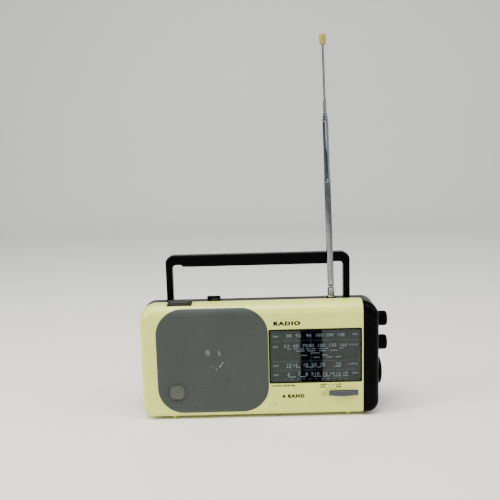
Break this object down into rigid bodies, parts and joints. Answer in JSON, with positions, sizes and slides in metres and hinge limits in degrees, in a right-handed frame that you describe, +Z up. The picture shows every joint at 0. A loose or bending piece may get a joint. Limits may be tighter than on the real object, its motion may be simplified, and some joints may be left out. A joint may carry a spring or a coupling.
{
  "type": "portable radio receiver",
  "caption": "Portable broadcast radio with cream front, speaker grille, dial window, black rear, folding handle, side knobs and telescopic antenna.",
  "frame": {"origin": "middle of the bounding box footprint, on the surface that the feet stand on", "axes": "+X to the right along the front, +Y from the front to the back, +Z up"},
  "size_m": [0.2596, 0.0672, 0.3929],
  "materials": {
    "cream_plastic": "aged ivory moulded plastic, satin",
    "black_plastic": "black moulded plastic, satin",
    "grey_plastic": "dark grey moulded plastic",
    "white_plastic": "off-white moulded plastic",
    "grille_metal": "grey enamelled perforated sheet",
    "black_cloth": "thin black grille cloth",
    "smoked_window": "clear smoked acrylic, glossy",
    "dial_black": "black printed dial plate",
    "pointer_paint": "violet painted pointer",
    "slider_grey": "blue-grey satin plastic",
    "button_grey": "grey plastic",
    "chrome": "chrome plated brass tube",
    "steel": "plain plated steel",
    "ferrite": "dark grey ferrite",
    "cone_paper": "pressed paper cone",
    "dial_cord": "woven cord",
    "clear_plastic": "clear plastic",
    "board_brown": "brown phenolic board",
    "cell_jacket": "plain printed metal jacket"
  },
  "bodies": {
    "case": {"front_case": "cream_plastic", "rear_case": "black_plastic", "right_end_cap": "black_plastic", "battery_tray": "grey_plastic", "speaker_grille": "grille_metal", "grille_cloth": "black_cloth", "speaker_frame": "steel", "speaker_cone": "cone_paper", "speaker_magnet": "ferrite", "dial_window": "smoked_window", "dial_scale": "dial_black", "dial_cord": "dial_cord", "cord_pulley_left": "white_plastic", "cord_pulley_right": "white_plastic", "tuning_capacitor": "clear_plastic", "volume_pot": "steel", "tone_pot": "steel", "band_switch_body": "steel", "power_switch": "steel", "handle_pin_left": "steel", "handle_pin_right": "steel", "antenna_clip": "black_plastic", "battery_1": "cell_jacket", "battery_2": "cell_jacket", "battery_3": "cell_jacket", "battery_4": "cell_jacket", "battery_contact": "steel", "battery_spring": "steel", "circuit_board": "board_brown", "if_can": "steel", "output_capacitor": "cell_jacket", "ferrite_rod": "ferrite", "ferrite_holder": "white_plastic", "earphone_jack": "steel", "dc_jack": "steel", "case_screw_1": "steel", "case_screw_2": "steel", "case_screw_3": "steel", "case_screw_4": "steel"},
    "handle": {"handle": "black_plastic"},
    "antenna_foot": {"antenna_base": "chrome", "antenna_hinge_pin": "chrome"},
    "antenna_arm": {"antenna_tube_1": "chrome"},
    "antenna_section_2": {"antenna_tube_2": "chrome"},
    "antenna_section_3": {"antenna_tube_3": "chrome"},
    "antenna_section_4": {"antenna_tube_4": "chrome"},
    "antenna_section_5": {"antenna_tube_5": "chrome"},
    "antenna_top": {"antenna_rod": "chrome", "antenna_tip": "cream_plastic"},
    "volume_control": {"volume_knob": "black_plastic", "volume_shaft": "steel"},
    "tone_control": {"tone_knob": "black_plastic", "tone_shaft": "steel"},
    "tuning_control": {"tuning_knob": "black_plastic", "tuning_shaft": "steel"},
    "drum": {"tuning_drum": "white_plastic"},
    "pointer": {"dial_pointer": "pointer_paint"},
    "band_switch": {"band_switch_knob": "slider_grey"},
    "power_button": {"power_button": "button_grey"},
    "battery_door": {"battery_door": "black_plastic"}
  },
  "joints": [
    {"name": "handle_fold", "type": "hinge", "parent": "case", "child": "handle", "pos_m": [-0.0056, 0.0146, 0.106], "axis": [-1, 0, 0], "range_deg": [0, 180]},
    {"name": "antenna_swivel", "type": "hinge", "parent": "case", "child": "antenna_foot", "pos_m": [0.0715, -0.0024, 0.122], "axis": [0, 0, 1], "continuous": true},
    {"name": "antenna_tilt", "type": "hinge", "parent": "antenna_foot", "child": "antenna_arm", "pos_m": [0.0715, -0.0024, 0.1285], "axis": [0, -1, 0], "range_deg": [-1.45, 88.55]},
    {"name": "antenna_slide_2", "type": "slide", "parent": "antenna_arm", "child": "antenna_section_2", "axis": [-0.0253, 0, 0.9997], "range_m": [-0.0615, 0.03]},
    {"name": "antenna_slide_3", "type": "slide", "parent": "antenna_section_2", "child": "antenna_section_3", "axis": [-0.0253, 0, 0.9997], "range_m": [-0.002, 0.083]},
    {"name": "antenna_slide_4", "type": "slide", "parent": "antenna_section_3", "child": "antenna_section_4", "axis": [-0.0253, 0, 0.9997], "range_m": [-0.002, 0.078]},
    {"name": "antenna_slide_5", "type": "slide", "parent": "antenna_section_4", "child": "antenna_section_5", "axis": [-0.0253, 0, 0.9997], "range_m": [-0.0145, 0.061]},
    {"name": "antenna_slide_6", "type": "slide", "parent": "antenna_section_5", "child": "antenna_top", "axis": [-0.0253, 0, 0.9997], "range_m": [-0.0515, 0.03]},
    {"name": "volume_turn", "type": "hinge", "parent": "case", "child": "volume_control", "pos_m": [0.1191, -0.0084, 0.0993], "axis": [1, 0, 0], "range_deg": [-150, 150]},
    {"name": "tone_turn", "type": "hinge", "parent": "case", "child": "tone_control", "pos_m": [0.1191, -0.0084, 0.0734], "axis": [1, 0, 0], "range_deg": [-150, 150]},
    {"name": "tuning_turn", "type": "hinge", "parent": "case", "child": "tuning_control", "pos_m": [0.1191, -0.0084, 0.0429], "axis": [1, 0, 0], "range_deg": [-496, 649]},
    {"name": "drum_turn", "type": "hinge", "parent": "case", "child": "drum", "pos_m": [0.0544, -0.0207, 0.062], "axis": [0, 1, 0], "range_deg": [-78, 101]},
    {"name": "pointer_slide", "type": "slide", "parent": "case", "child": "pointer", "axis": [1, 0, 0], "range_m": [-0.0262, 0.0342]},
    {"name": "band_switch_slide", "type": "slide", "parent": "case", "child": "band_switch", "axis": [1, 0, 0], "range_m": [-0.0078, 0]},
    {"name": "power_button_push", "type": "slide", "parent": "case", "child": "power_button", "axis": [0, 0, -1], "range_m": [0, 0.0015], "stiffness_N_per_m": 600, "springref_m": -0.001},
    {"name": "battery_door_pull", "type": "slide", "parent": "case", "child": "battery_door", "axis": [0, 1, 0], "range_m": [0, 0.03]}
  ],
  "couplings": [
    {"joint": "pointer_slide", "follows": "tuning_turn", "m_per_rad": 0.003},
    {"joint": "drum_turn", "follows": "tuning_turn", "ratio": 0.1538}
  ]
}
